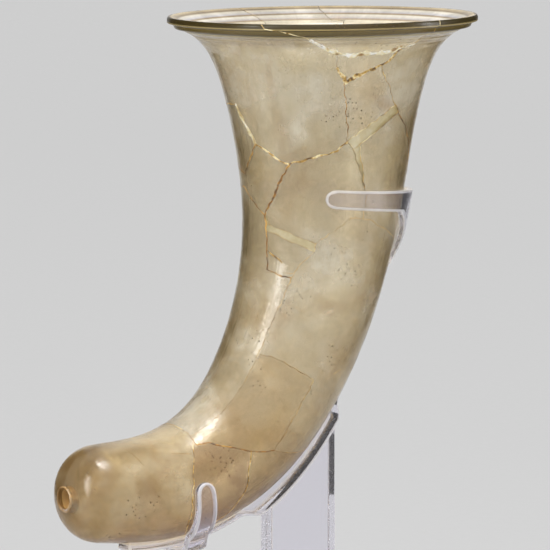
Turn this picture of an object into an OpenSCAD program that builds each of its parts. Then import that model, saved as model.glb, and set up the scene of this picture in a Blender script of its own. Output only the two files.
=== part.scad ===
// Horn-shaped glass drinking cup, broken and mended, lifted out of a clear display mount.
// Millimetres. Origin at the centre of the underside of the base plate, +Z up,
// the horn lies in the XZ plane and its closed end points to -X.

/* [Horn] */
// Length of the horn along its curved centre line
horn_len = 264; // [256:1:280]
// Radius of the tube at its closed end
tip_r = 17.6; // [16:0.1:20]
// How much wider the tube grows from the closed end to the mouth
taper = 14.5; // [12:0.1:16]
// Power of that taper
taper_power = 0.775; // [0.7:0.005:0.9]
// Extra radius of the wide neck under the mouth
neck = 18; // [14:0.1:20]
// Distance over which the neck fades away
neck_len = 44.5; // [38:0.5:50]
// Extra radius of the short flare at the mouth
throat = 21.6; // [18:0.1:24]
// Distance over which the flare fades away
throat_len = 5.5; // [4.5:0.1:6.5]
// Outer radius of the lip
lip_r = 62.2; // [60:0.1:64]
// Wall of the glass, square to its surface
wall = 2.6; // [2:0.1:3]
// Wall of the glass at the closed end
tip_wall = 5.4; // [4:0.1:7]
// Length of the rounded closed end
cap_len = 17; // [14:0.5:20]
// Squareness of the rounded closed end
cap_power = 2.7; // [2.2:0.1:3]

/* [Bend] */
// Lean of the centre line at the mouth, degrees
lean = -0.6; // [-2:0.1:1]
// Long gentle bend, degrees
bow = 56.5; // [52:0.5:58]
// Where the gentle bend starts, along the centre line
bow_from = 34.5; // [30:0.5:40]
// Where the gentle bend ends
bow_to = 242; // [236:1:248]
// Tighter bend at the elbow, degrees
elbow = 37; // [34:0.5:40]
// Where the tighter bend starts
elbow_from = 150; // [145:1:155]
// Where the tighter bend ends
elbow_to = 250.5; // [246:0.5:256]

/* [Outlet] */
// Radius of the drilled outlet in the closed end
outlet_r = 4.7; // [4:0.1:5.5]
// How far the outlet lies below the tube's centre line
outlet_drop = 1.5; // [0:0.1:3]

/* [Mending] */
// Width of the adhesive seam between two sherds
seam = 0.3; // [0.2:0.02:0.4]

/* [Display mount] */
// Thickness of the clear strip that the claws and rail are bent from
strip_t = 3.4; // [3:0.1:4]
// Width of that strip
strip_w = 8; // [7:0.1:9]
// Gap between the glass and the mount
ease_gap = 0.3; // [0.3:0.05:0.6]
// Cement film between two mount pieces
film = 0.05; // [0.03:0.01:0.1]
// Place of the upper claw along the horn
claw_at = 72; // [68:0.5:76]
// Angle that the near arm of the upper claw reaches round the horn
claw_reach = 123; // [112:1:126]
// Angle that its far arm reaches
claw_far_reach = 114; // [108:1:118]
// Angle over which the upper claw widens into its stem
web_reach = 58; // [48:1:62]
// Bend of that widening's edge, 1 for a straight one
web_bend = 1.15; // [1:0.05:1.5]
// Where the stem of the upper claw ends and the rail begins
rail_from = 100; // [96:1:104]
// Extra depth of the rail where it lies on the post
rail_extra = 4.6; // [1:0.1:6]
// Where the rail deepens
rail_deep_from = 144; // [140:1:146]
// Where it grows thin again
rail_deep_to = 187; // [187:1:196]
// Where the rail ends under the closed end
rail_to = 236; // [228:1:242]
// Place of the lower claw along the horn
yoke_at = 213.5; // [211:0.5:216]
// Angle that each finger of the lower claw reaches round the horn
yoke_reach = 97; // [85:1:98]
// Width of the post, along X
post_w = 31.3; // [26:0.1:34]
// Thickness of the post, along Y
post_t = 8; // [7:0.1:10]
// Centre of the post in front of the mouth's centre, along X
post_x = -11.75; // [-16:0.05:-8]

/* [Base] */
// Free height between the base plate and the lowest point of the glass
base_gap = 40; // [30:1:60]
// Length of the base plate, along X
base_l = 150; // [130:1:180]
// Width of the base plate, along Y
base_w = 110; // [90:1:130]
// Thickness of the base plate
base_t = 12; // [10:0.5:15]
// Corner radius of the base plate
corner_r = 8; // [4:0.5:14]
// Centre of the base plate, measured from the mouth's centre along X
base_x = -30; // [-40:1:-20]
// Radius of the screws that hold the post
screw_r = 2; // [1.5:0.1:2.5]
// Length of the screws
screw_l = 25; // [20:1:30]
// Distance between the two screws
screw_pitch = 18; // [14:1:20]
// Radial play of a screw in the base plate
screw_play = 0.25; // [0.15:0.05:0.4]

/* [Hidden] */

glass = [0.72, 0.66, 0.45];
resin = [0.80, 0.66, 0.30];
clear = [0.86, 0.88, 0.93];
steel = [0.75, 0.76, 0.78];

// Largest angle between two columns of facets, and largest height of a facet
column_deg = 9;
facet_h = 7.5;
// Largest step along the horn between two neighbouring columns
facet_skew = 12;
// Narrowest width that the point of a sherd keeps
point_w = 0.4;
// Facet rows in the flare of a sherd that reaches the lip
flare_rows = 11;

// Form of the horn: s runs along the centre line from the mouth, v turns round it.
// v = 0 is the outside of the bend, v = 180 the inside, v = 270 faces -Y.
function soft(t) = let (c = min(max(t, 0), 1)) c * c * (3 - 2 * c);
function heading(s) = lean + bow * soft((s - bow_from) / (bow_to - bow_from))
                    + elbow * soft((s - elbow_from) / (elbow_to - elbow_from));
function tube(s) = tip_r + taper * pow(1 - min(s / horn_len, 1), taper_power)
                 + throat * exp(-s / throat_len) + neck * exp(-s / neck_len);
function round_end(s, end) =
    let (t = min(max((s - end + cap_len) / cap_len, 0), 1)) sqrt(max(1 - pow(t, cap_power), 0));
function tube_slope(s) = (tube(s + 0.1) - tube(s)) / 0.1;
function outer(s) = min(lip_r, tube(s)) * round_end(s, horn_len);
function inner(s) = min(lip_r - wall / 2, tube(s) - wall * sqrt(1 + pow(tube_slope(s), 2)))
                  * round_end(s, horn_len - tip_wall);

spine_step = 2;
spine = [for (s = 0, x = 0, z = 0; s <= horn_len + spine_step;
              x = x - spine_step * sin(heading(s + spine_step / 2)),
              z = z - spine_step * cos(heading(s + spine_step / 2)),
              s = s + spine_step) [s, x, z]];
spine_x = [for (p = spine) [p[0], p[1]]];
spine_z = [for (p = spine) [p[0], p[2]]];
function on_horn(s, v, r) =
    [lookup(s, spine_x) + r * cos(v) * cos(heading(s)), r * sin(v),
     lookup(s, spine_z) - r * cos(v) * sin(heading(s))];

// Height of the mouth above the underside of the base plate
glass_low = min([for (s = [horn_len / 2 : 1 : horn_len]) on_horn(s, 0, outer(s))[2]]);
mouth_z = base_t + base_gap - glass_low;
// Depth of the lip's upright edge
lip_h = max([for (s = [0 : 0.1 : 8]) if (tube(s) >= lip_r) s]);

// Cracks, each a line of [v, s] points that the sherds on both of its sides share
rim_left = [[212, 0], [213.5, 1.8], [219, 2.9], [227, 5.5], [232, 8.1], [238, 11.5], [241, 12.5]];
rim_middle = [[241, 12.5], [251, 12.6], [267, 12.3], [274, 11.3]];
rim_right = [[274, 11.3], [281, 9.7]];
rim_rise = [[281, 9.7], [282, 0]];
fork_left = [[241, 12.5], [242, 18], [246, 24]];
fork_low = [[246, 24], [265, 17.5]];
fork_right = [[265, 17.5], [269, 16], [274, 11.3]];
stem_left = [[246, 24], [249, 41], [250, 48]];
right_upper = [[265, 17.5], [281, 34]];
right_step = [[281, 34], [285.5, 37]];
right_lower = [[285.5, 37], [306, 49.2], [322, 63], [360, 67], [380, 66]];
shoulder_far = [[106, 36], [140, 35], [171, 34.5]];
shoulder_near = [[171, 34.5], [186, 50]];
arch_left = [[186, 50], [206, 56.6], [212, 57.7]];
arch_right = [[212, 57.7], [241, 52.5], [250, 48]];
wedge_low = [[112, 59], [140, 60], [168, 64.2], [186, 50]];
left_diagonal = [[190, 82], [212, 57.7]];
left_ledge = [[116, 70], [163, 70], [190, 82]];
band_top = [[250, 48], [281, 34]];
band_tail = [[250, 48], [254, 51]];
band_left = [[254, 51], [257.5, 49.4]];
band_low = [[257.5, 49.4], [285.5, 37]];
wedge_right = [[257.5, 49.4], [265, 67]];
wedge_left = [[254, 51], [265, 67]];
hairline = [[265, 67], [267, 79.5]];
fill_top = [[190, 82], [193.5, 86], [234, 92]];
fill_left = [[190, 82], [192, 89]];
fill_low = [[192, 89], [233, 95.5]];
fill_end = [[233, 95.5], [234, 92]];
centre_low = [[234, 92], [257, 79.2], [267, 79.5]];
right_ledge = [[267, 79.5], [275, 80], [304, 85], [360, 88], [372, 88]];
small_left = [[192, 89], [194, 98], [197, 107.5], [219, 109.5]];
small_right = [[219, 109.5], [225, 101.4], [233, 95.5]];
long_crack = [[212, 135], [219, 109.5]];
ledge = [[212, 147.4], [226, 146.5], [250, 146.6], [268, 147.2]];
ledge_drop = [[268, 147.2], [268.6, 158.3], [270, 164.5], [276, 178.6]];
lower_ledge = [[276, 178.6], [326, 165.2], [360, 161], [376, 160]];
brown_top = [[219, 207.3], [225, 207], [228, 201.5], [235, 199], [244, 194.3], [251, 191], [260, 187]];
brown_tail = [[260, 187], [276, 178.6]];
brown_right = [[260, 187], [275, 191.7], [294, 195.4], [318, 203.4], [345, 216]];
ring_left = [[114, 207], [212, 207]];
ring_near = [[212, 207], [219, 207.3]];
ring_front = [[219, 207.3], [225, 209.7], [232, 211.3], [252, 215.8], [269, 217.6], [307, 218.7],
              [345, 216]];
ring_right = [[345, 216], [366, 214]];
ring_back = [[366, 214], [474, 207]];
// Cracks that the photographed side hides
seam_a = [[86, 0], [106, 36]];
seam_b = [[106, 36], [112, 59]];
seam_c = [[112, 59], [116, 70]];
seam_d = [[116, 70], [112, 108], [108, 158], [114, 207]];
seam_e = [[380, 66], [404.5, 6], [416, 0]];
seam_f = [[372, 88], [380, 66]];
seam_g = [[372, 88], [373.3, 112]];
seam_h = [[373.3, 112], [376, 160]];
seam_i = [[366, 214], [376, 160]];
back_high = [[380, 66], [410, 52], [445, 60], [472, 59]];
back_mid = [[373.3, 112], [420, 118], [472, 108]];
back_low = [[376, 160], [420, 168], [468, 158]];

// Joins cracks that follow each other, each starting where the one before it ends
function join(lines) = concat(lines[0], [for (i = [1 : 1 : len(lines) - 1])
                                         for (k = [1 : len(lines[i]) - 1]) lines[i][k]]);
function turned(line) = [for (i = [len(line) - 1 : -1 : 0]) line[i]];
function swapped(line) = [for (p = line) [p[1], p[0]]];
function past(line) = [for (p = line) [p[0] + 360, p[1]]];

function sorted(l) = len(l) == 0 ? [] :
    let (m = min(l)) concat([m], sorted([for (x = l) if (x > m + 0.01) x]));
function half_seam_deg(s) = seam / 2 / outer(s) * 180 / PI;
// The lower and upper edge of a sherd, drawn back from its cracks by half a seam
function low_edge(line, t, d, k) = max(lookup(t - d, line), lookup(t, line), lookup(t + d, line)) + k;
function high_edge(line, t, d, k) = min(lookup(t - d, line), lookup(t, line), lookup(t + d, line)) - k;

// Steep stretches of a crack get a level on both sides of each corner
function corners(line, d) = [for (i = [0 : len(line) - 1]) let (
        before = i == 0 ? 0 : abs((line[i][1] - line[i - 1][1]) / (line[i][0] - line[i - 1][0])),
        after = i == len(line) - 1 ? 0 : abs((line[i + 1][1] - line[i][1]) / (line[i + 1][0] - line[i][0])))
    each max(before, after) > 1.5 ? [line[i][0] - d, line[i][0], line[i][0] + d] : [line[i][0]]];
function levels(a, b, from, to, d, step, skew) = let (
        pointed_from = abs(lookup(from, b) - lookup(from, a)) < 0.5,
        pointed_to = abs(lookup(to, b) - lookup(to, a)) < 0.5,
        start = from + d, stop = to - d,
        ends = concat(pointed_from ? [for (k = [1, 2.5, 5]) from + k * step / 8] : [],
                      pointed_to ? [for (k = [1, 2.5, 5]) to - k * step / 8] : []),
        keys = sorted([for (t = concat([start, stop], ends, corners(a, d), corners(b, d)))
                       if (t >= start && t <= stop) t]))
    concat([for (i = [0 : len(keys) - 2]) let (
            p = keys[i], q = keys[i + 1],
            n = ceil(max(1, (q - p) / step, abs(lookup(q, a) - lookup(p, a)) / skew,
                         abs(lookup(q, b) - lookup(p, b)) / skew)))
        for (k = [0 : n - 1]) p + (q - p) * k / n], [keys[len(keys) - 1]]);

// Solid between two grids of points, an outer and an inner one, of equal size
module shell(out, in, flip = false) {
    n = len(out);
    m = len(out[0]);
    function o(i, j) = i * m + j;
    function c(i, j) = n * m + i * m + j;
    quads = concat(
        [for (i = [0 : n - 2], j = [0 : m - 2]) [o(i, j), o(i + 1, j), o(i + 1, j + 1), o(i, j + 1)]],
        [for (i = [0 : n - 2], j = [0 : m - 2]) [c(i, j), c(i, j + 1), c(i + 1, j + 1), c(i + 1, j)]],
        [for (j = [0 : m - 2]) [o(0, j), o(0, j + 1), c(0, j + 1), c(0, j)]],
        [for (j = [0 : m - 2]) [o(n - 1, j + 1), o(n - 1, j), c(n - 1, j), c(n - 1, j + 1)]],
        [for (i = [0 : n - 2]) [o(i + 1, 0), o(i, 0), c(i, 0), c(i + 1, 0)]],
        [for (i = [0 : n - 2]) [o(i, m - 1), o(i + 1, m - 1), c(i + 1, m - 1), c(i, m - 1)]]);
    faces = [for (q = quads) each [[q[0], q[1], q[2]], [q[0], q[2], q[3]]]];
    polyhedron([for (row = concat(out, in)) each row],
               flip ? [for (f = faces) [f[0], f[2], f[1]]] : faces, convexity = 8);
}

// Places of the facet rows between the upper edge a and the lower edge b of a column.
// At the lip two rows cover the upright edge, and the rest crowd under it.
function rows_at(a, b, m, lip) = !lip ? [for (j = [0 : m]) a + (b - a) * j / m] :
    let (z = min(max(lip_h, a + 0.04 * (b - a)), a + 0.6 * (b - a)))
    concat([a, (a + z) / 2], [for (j = [0 : m - 2]) z + (b - z) * pow(j / (m - 2), 1.5)]);

// A sherd between an upper and a lower crack, both read by the angle v
module sherd(upper, lower, lip = false) {
    from = upper[0][0];
    to = upper[len(upper) - 1][0];
    d = half_seam_deg(lookup((from + to) / 2, upper));
    ts = levels(upper, lower, from, to, d, column_deg, facet_skew);
    cols = [for (t = ts) let (
                a = low_edge(upper, t, d, lip && lookup(t, upper) < 0.05 ? 0 : seam / 2),
                b = high_edge(lower, t, d, seam / 2))
            if (b - a > point_w) [t, a, b]];
    tall = max([for (c = cols) c[2] - c[1]]);
    m = lip ? (tall < 20 ? 8 : flare_rows + 2) : ceil(tall / facet_h);
    out = [for (c = cols) [for (s = rows_at(c[1], c[2], m, lip)) on_horn(s, c[0], outer(s))]];
    in = [for (c = cols) [for (s = rows_at(c[1], c[2], m, lip)) on_horn(s, c[0], inner(s))]];
    shell(out, in);
}

// A sherd between a left and a right crack, both read by the distance s
module long_sherd(left, right) {
    from = left[0][0];
    to = left[len(left) - 1][0];
    ts = levels(left, right, from, to, seam / 2, facet_h, column_deg);
    rows = [for (t = ts) let (k = half_seam_deg(t))
            [t, low_edge(left, t, seam / 2, k), high_edge(right, t, seam / 2, k)]];
    m = ceil(max([for (r = rows) r[2] - r[1]]) / column_deg);
    out = [for (r = rows) [for (j = [0 : m]) on_horn(r[0], r[1] + (r[2] - r[1]) * j / m, outer(r[0]))]];
    in = [for (r = rows) [for (j = [0 : m]) on_horn(r[0], r[1] + (r[2] - r[1]) * j / m, inner(r[0]))]];
    shell(out, in, flip = true);
}

module seat() translate([-base_x, 0, mouth_z]) children();

module rim_front_sherd() color(glass) seat()
    sherd([[212, 0], [281, 0]], join([rim_left, rim_middle, rim_right]), lip = true);
module upper_left_sherd() color(glass * 0.97) seat()
    sherd(join([[[86, 0], [212, 0]], rim_left, fork_left, stem_left]),
          join([seam_a, shoulder_far, shoulder_near, arch_left, arch_right]), lip = true);
module throat_sherd() color(glass * 0.9) seat()
    sherd(rim_middle, join([fork_left, fork_low, fork_right]));
module upper_right_sherd() color(glass * 0.94) seat()
    sherd(join([fork_right, rim_right, rim_rise, [[282, 0], [416, 0]]]),
          join([right_upper, right_step, right_lower, seam_e]), lip = true);
module centre_upper_sherd() color(glass * 1.03) seat()
    sherd(join([fork_low, right_upper]), join([stem_left, band_top]));
module centre_left_sherd() color(glass * 0.98) seat()
    sherd(join([left_diagonal, arch_right, band_tail, wedge_left, hairline]),
          join([fill_top, centre_low]));
module centre_right_sherd() color(glass * 0.92) seat()
    sherd(join([band_low, right_lower]),
          join([wedge_right, hairline, right_ledge, seam_f]));
module left_wedge_sherd() color(glass * 0.9) seat()
    sherd(join([shoulder_far, shoulder_near]), join([seam_b, wedge_low]));
module left_middle_sherd() color(glass * 0.96) seat()
    sherd(join([wedge_low, arch_left]), join([seam_c, left_ledge, left_diagonal]));
module small_sherd() color(glass * 1.02) seat()
    sherd(fill_low, join([small_left, small_right]));
module left_long_sherd() color(glass * 0.93) seat()
    long_sherd(swapped(seam_d),
               swapped(join([[[163, 70], [190, 82]], fill_left, small_left, turned(long_crack),
                             [[212, 135], [212, 207]]])));
module main_right_sherd() color(glass * 0.99) seat()
    sherd(join([long_crack, small_right, fill_end, centre_low, right_ledge, seam_g, seam_h]),
          join([ledge, ledge_drop, lower_ledge]));
module lower_centre_sherd() color(glass * 0.95) seat()
    sherd(join([ledge, ledge_drop]), join([ring_near, brown_top, brown_tail]));
module brown_sherd() color([0.62, 0.50, 0.36]) seat()
    sherd(join([brown_top, brown_right]), ring_front);
module lower_right_sherd() color(glass * 0.91) seat()
    sherd(join([brown_tail, lower_ledge]), join([brown_right, ring_right, seam_i]));
module back_upper_sherd() color(glass * 0.93) seat()
    sherd(join([seam_e, [[416, 0], [446, 0]], past(seam_a), past(seam_b)]), back_high, lip = true);
module back_middle_sherd() color(glass * 0.97) seat()
    sherd(join([seam_f, back_high, past(seam_c)]),
          join([seam_g, back_mid, [[472, 108], [476, 70]]]));
module back_lower_sherd() color(glass * 0.9) seat()
    sherd(back_mid, join([seam_h, back_low, [[468, 158], [472, 108]]]));
module back_end_sherd() color(glass * 0.95) seat()
    sherd(join([seam_i, back_low, [[468, 158], [474, 207]]]), ring_back);

// The closed end below the ring crack, with the outlet drilled through it
module bulb_sherd() {
    ring = join([ring_left, ring_near, ring_front, ring_right, ring_back]);
    first = ring[0][0];
    columns = ceil(360 / column_deg);
    angles = [for (i = [0 : columns - 1]) first + 360 * i / columns];
    straight = 7;
    round_rows = 8;
    function top_s(v) = low_edge(ring, v, half_seam_deg(210), seam / 2);
    function row_s(v, j, end) = j < straight
        ? top_s(v) + (end - cap_len - top_s(v)) * j / straight
        : end - cap_len + cap_len * pow(sin(90 * (j - straight) / round_rows), 2 / cap_power);
    rows = straight + round_rows;
    out = [for (v = angles) [for (j = [0 : rows - 1]) let (s = row_s(v, j, horn_len))
                             on_horn(s, v, outer(s))]];
    in = [for (v = angles) [for (j = [0 : rows - 1]) let (s = j == 0 ? row_s(v, 0, horn_len) :
                                                          row_s(v, j, horn_len - tip_wall))
                            on_horn(s, v, inner(s))]];
    pole_out = 2 * columns * rows;
    function o(i, j) = (i % columns) * rows + j;
    function c(i, j) = columns * rows + (i % columns) * rows + j;
    quads = concat(
        [for (i = [0 : columns - 1], j = [0 : rows - 2]) [o(i, j), o(i + 1, j), o(i + 1, j + 1), o(i, j + 1)]],
        [for (i = [0 : columns - 1], j = [0 : rows - 2]) [c(i, j), c(i, j + 1), c(i + 1, j + 1), c(i + 1, j)]],
        [for (i = [0 : columns - 1]) [o(i + 1, 0), o(i, 0), c(i, 0), c(i + 1, 0)]]);
    faces = concat([for (q = quads) each [[q[0], q[1], q[2]], [q[0], q[2], q[3]]]],
        [for (i = [0 : columns - 1]) [o(i, rows - 1), o(i + 1, rows - 1), pole_out]],
        [for (i = [0 : columns - 1]) [c(i + 1, rows - 1), c(i, rows - 1), pole_out + 1]]);
    points = concat([for (col = concat(out, in)) each col],
                    [on_horn(horn_len, 0, 0), on_horn(horn_len - tip_wall, 0, 0)]);
    color(glass * 0.9) seat() difference() {
        polyhedron(points, faces, convexity = 8);
        translate(on_horn(horn_len, 0, outlet_drop)) rotate([0, heading(horn_len), 0])
            cylinder(h = 4 * tip_wall, r = outlet_r, center = true, $fn = 48);
    }
}

module resin_fill_upper() color(resin) seat()
    sherd(join([band_top, right_step]), join([band_tail, band_left, band_low]));
module resin_fill_wedge() color(resin) seat()
    sherd(join([band_left, wedge_right]), wedge_left);
module resin_fill_middle() color(resin) seat()
    sherd(fill_top, join([fill_left, fill_low, fill_end]));

// Clear strips that follow the glass: half their width in degrees at a place along the horn
function strip_deg(at) = strip_w / 2 / outer(at) * 180 / PI;
// Edge of a strip across the horn with round ends; side is -1 for the upper edge
function round_strip(at, reach, far, side) = let (e = strip_deg(at), h = strip_w / 2)
    concat([for (k = [5 : 15 : 80]) [360 - reach + e * (1 - cos(k)), at + side * h * sin(k)]],
           [[360 - reach + e, at + side * h], [360 + far - e, at + side * h]],
           [for (k = [80 : -15 : 5]) [360 + far - e * (1 - cos(k)), at + side * h * sin(k)]]);
module strip(upper, lower, lift = function(v) 0) {
    ts = levels(upper, lower, upper[0][0], upper[len(upper) - 1][0], 0, 6, 6);
    m = 3;
    cells = [for (t = ts) [for (j = [0 : m]) [lookup(t, upper) + (lookup(t, lower) - lookup(t, upper)) * j / m, t]]];
    shell([for (col = cells) [for (p = col) on_horn(p[0], p[1], outer(p[0]) + ease_gap + lift(p[1]) + strip_t)]],
          [for (col = cells) [for (p = col) on_horn(p[0], p[1], outer(p[0]) + ease_gap + lift(p[1]))]]);
}

module upper_claw() color(clear) seat() {
    low = claw_at + strip_w / 2;
    e = strip_deg(rail_from);
    web = [for (k = [0 : 6]) [e + (web_reach - e) * pow(k / 6, web_bend),
                              low + (rail_from - low) * pow(1 - k / 6, web_bend)]];
    edge = round_strip(claw_at, claw_reach, claw_far_reach, 1);
    strip(round_strip(claw_at, claw_reach, claw_far_reach, -1),
          concat([for (p = edge) if (p[0] < 360 - web_reach) p],
                 [for (i = [len(web) - 1 : -1 : 0]) [360 - web[i][0], web[i][1]]],
                 [for (p = web) [360 + p[0], p[1]]],
                 [for (p = edge) if (p[0] > 360 + web_reach) p]));
}

// Outline points of the rail's upper face, or of its lower face, as [x, z]
function rail_depth(s) = strip_t + rail_extra * soft((s - rail_deep_from) / 6) * (1 - soft((s - rail_deep_to) / 6));
function rail_line(gap, from, to, lower = false) = [for (i = [0 : 46]) let (
        s = from + (to - from) * i / 46,
        p = on_horn(s, 0, outer(s) + gap + (lower ? rail_depth(s) : 0))) [p[0], p[2]]];
module upright(t) rotate([90, 0, 0]) linear_extrude(height = t, center = true) children();

module rail() color(clear * 0.98) seat()
    upright(strip_w) polygon(concat(
        rail_line(ease_gap, rail_from + film, rail_to),
        turned(rail_line(ease_gap, rail_from + film, rail_to, true))));

module lower_claw() color(clear * 0.96) seat() {
    // The claw steps out over the flat rail and comes back to the glass beside it
    rail_face = outer(yoke_at) + ease_gap + strip_t;
    rise = norm([rail_face, strip_w / 2]) - rail_face + strip_t + 2 * film;
    rail_deg = strip_deg(yoke_at);
    strip(round_strip(yoke_at, yoke_reach, yoke_reach, -1), round_strip(yoke_at, yoke_reach, yoke_reach, 1),
          lift = function(v) rise * (1 - soft((abs(v - 360) - rail_deg - 5) / 16)));
}

screw_xs = [post_x - screw_pitch / 2, post_x + screw_pitch / 2];
module post() color(clear * 0.94) seat() difference() {
    under = rail_line(ease_gap + film, rail_from, rail_to, true);
    steps = 10;
    upright(post_t) polygon(concat(
        [[post_x - post_w / 2, base_t - mouth_z], [post_x + post_w / 2, base_t - mouth_z]],
        [for (i = [0 : steps]) let (x = post_x + post_w / 2 - post_w * i / steps) [x, lookup(x, under)]]));
    for (x = screw_xs) translate([x, 0, base_t - mouth_z - 1])
        cylinder(h = screw_l - base_t + 3, r = screw_r + film, $fn = 32);
}

head_r = 2 * screw_r;
head_h = head_r - screw_r;
head_sink = 0.4;
module base_plate() color(clear * 0.9) difference() {
    union() {
        translate([-base_l / 2 + corner_r, -base_w / 2, 0]) cube([base_l - 2 * corner_r, base_w, base_t]);
        translate([-base_l / 2, -base_w / 2 + corner_r, 0]) cube([base_l, base_w - 2 * corner_r, base_t]);
        for (x = [-1, 1], y = [-1, 1])
            translate([x * (base_l / 2 - corner_r), y * (base_w / 2 - corner_r), 0])
                cylinder(h = base_t, r = corner_r, $fn = 64);
    }
    for (x = screw_xs) translate([x - base_x, 0, 0]) {
        translate([0, 0, -1]) cylinder(h = base_t + 2, r = screw_r + screw_play, $fn = 32);
        translate([0, 0, -1]) cylinder(h = head_sink + 1, r = head_r + screw_play, $fn = 32);
        translate([0, 0, head_sink - 0.01])
            cylinder(h = head_h, r1 = head_r + screw_play, r2 = screw_r + screw_play, $fn = 32);
    }
}

module base_screws() color(steel) for (x = screw_xs) translate([x - base_x, 0, head_sink])
    difference() {
        union() {
            cylinder(h = head_h, r1 = head_r, r2 = screw_r, $fn = 32);
            cylinder(h = screw_l - head_sink, r = screw_r, $fn = 32);
        }
        translate([0, 0, -1]) cylinder(h = 1 + head_h * 0.7, r = screw_r * 0.7, $fn = 6);
    }

rim_front_sherd();
upper_left_sherd();
throat_sherd();
upper_right_sherd();
centre_upper_sherd();
centre_left_sherd();
centre_right_sherd();
left_wedge_sherd();
left_middle_sherd();
small_sherd();
left_long_sherd();
main_right_sherd();
lower_centre_sherd();
brown_sherd();
lower_right_sherd();
back_upper_sherd();
back_middle_sherd();
back_lower_sherd();
back_end_sherd();
bulb_sherd();
resin_fill_upper();
resin_fill_wedge();
resin_fill_middle();
upper_claw();
rail();
lower_claw();
post();
base_plate();
base_screws();
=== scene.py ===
# %% [markdown]
# A glass drinking horn, broken long ago and put together again, in a clear claw mount.
# The construction comes packed as a fixed frame: every sherd, fill and mount piece has its
# place there. This lesson dresses those pieces. The sherds are drawn again as fine shells
# from the same few sizes, and each crack gets its line of old adhesive.

# %% Load the frame
import math
import bmesh
import bpy
import numpy as np
from mathutils import Matrix, Vector
from mathutils.geometry import delaunay_2d_cdt


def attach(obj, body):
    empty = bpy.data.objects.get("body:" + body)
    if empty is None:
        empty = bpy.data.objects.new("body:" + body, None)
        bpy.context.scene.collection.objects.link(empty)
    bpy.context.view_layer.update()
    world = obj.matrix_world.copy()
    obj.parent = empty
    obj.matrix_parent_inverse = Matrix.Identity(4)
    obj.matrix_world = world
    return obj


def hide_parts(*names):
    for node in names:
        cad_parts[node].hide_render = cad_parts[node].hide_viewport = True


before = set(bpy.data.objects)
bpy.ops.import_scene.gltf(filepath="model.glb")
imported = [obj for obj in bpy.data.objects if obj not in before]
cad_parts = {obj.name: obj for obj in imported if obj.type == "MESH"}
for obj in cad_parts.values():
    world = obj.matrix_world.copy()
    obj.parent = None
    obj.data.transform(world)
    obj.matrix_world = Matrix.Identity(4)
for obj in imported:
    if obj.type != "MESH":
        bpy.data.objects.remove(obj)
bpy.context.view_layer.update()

# %% [markdown]
# The horn is a round tube swept along a bent line. A place on it is given by s, the distance
# along the line from the mouth in millimetres, and v, the angle round it in degrees. At v = 0
# lies the outside of the bend, at 180 the inside. One formula gives the radius and another the
# direction, so that every later piece can ask for a point on the glass.

# %% Form of the horn
HORN_LEN, CAP_LEN, CAP_POWER = 264.0, 17.0, 2.7
LIP_R, WALL, TIP_WALL = 62.2, 2.6, 5.4
MOUTH = np.array([30.0, 0.0, 256.45])
SPINE_STEP = 0.5


def soft(t):
    t = np.clip(t, 0, 1)
    return t * t * (3 - 2 * t)


def heading(s):
    return -0.6 + 56.5 * soft((s - 34.5) / 207.5) + 37 * soft((s - 150) / 100.5)


def tube(s):
    far = np.clip(s / HORN_LEN, 0, 1)
    return 17.6 + 14.5 * (1 - far) ** 0.775 + 21.6 * np.exp(-s / 5.5) + 18 * np.exp(-s / 44.5)


def round_end(s, end):
    t = np.clip((s - end + CAP_LEN) / CAP_LEN, 0, 1)
    return np.sqrt(np.maximum(1 - t ** CAP_POWER, 0))


spine_s = np.arange(0, HORN_LEN + 1, SPINE_STEP)
middle_heading = np.radians(heading(spine_s[:-1] + SPINE_STEP / 2))
spine_x = np.concatenate([[0], np.cumsum(-np.sin(middle_heading) * SPINE_STEP)])
spine_z = np.concatenate([[0], np.cumsum(-np.cos(middle_heading) * SPINE_STEP)])


def on_horn(s, v, r):
    """Points in metres, in the frame's axes."""
    s, v, r = np.broadcast_arrays(np.asarray(s, float), np.radians(v), r)
    h = np.radians(heading(s))
    x = np.interp(s, spine_s, spine_x) + r * np.cos(v) * np.cos(h)
    z = np.interp(s, spine_s, spine_z) - r * np.cos(v) * np.sin(h)
    return (np.stack([x, r * np.sin(v), z], -1) + MOUTH) / 1000


print("closed end at", on_horn(HORN_LEN, 0, 0.0))

# %% [markdown]
# The lip was finished on a turning wheel: under its upright edge the outside steps in twice,
# like two narrow terraces, with a fine groove below them. The terraces are a short table of
# places and radii that replaces the smooth flare there. The inside gets four faint rings.

# %% Wall profiles
TERRACES = np.array([(0, 61.7), (0.12, 62.0), (0.35, 62.2), (2.3, 62.2), (2.5, 61.95), (2.62, 61.2), (2.7, 60.3),
                     (2.9, 60.05), (4.5, 59.3), (4.75, 58.9), (4.9, 57.6), (5.05, 56.7), (5.3, 56.3), (6.4, 54.3),
                     (6.6, 53.85)])
LIP_BANDS_MM = float(TERRACES[-1, 0])
GROOVES = ((7.3, 0.28, 0.28), (9.6, 0.3, 0.15))
RINGS_INSIDE = ((1.5, 0.3, 0.22), (3.1, 0.3, 0.25), (4.8, 0.35, 0.25), (7.2, 0.4, 0.25))


def outer(s):
    s = np.asarray(s, float)
    r = np.where(s < LIP_BANDS_MM, np.interp(s, TERRACES[:, 0], TERRACES[:, 1]), np.minimum(LIP_R, tube(s)))
    for place, half, depth in GROOVES:
        r = r - depth * np.exp(-((s - place) / half) ** 2)
    return r * round_end(s, HORN_LEN)


def inner(s):
    s = np.asarray(s, float)
    slope = (tube(s + 0.1) - tube(s)) / 0.1
    r = np.minimum(LIP_R - WALL / 2, tube(s) - WALL * np.sqrt(1 + slope ** 2))
    for place, half, depth in RINGS_INSIDE:
        r = r + depth * np.exp(-((s - place) / half) ** 2)
    return r * round_end(s, HORN_LEN - TIP_WALL)


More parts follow.
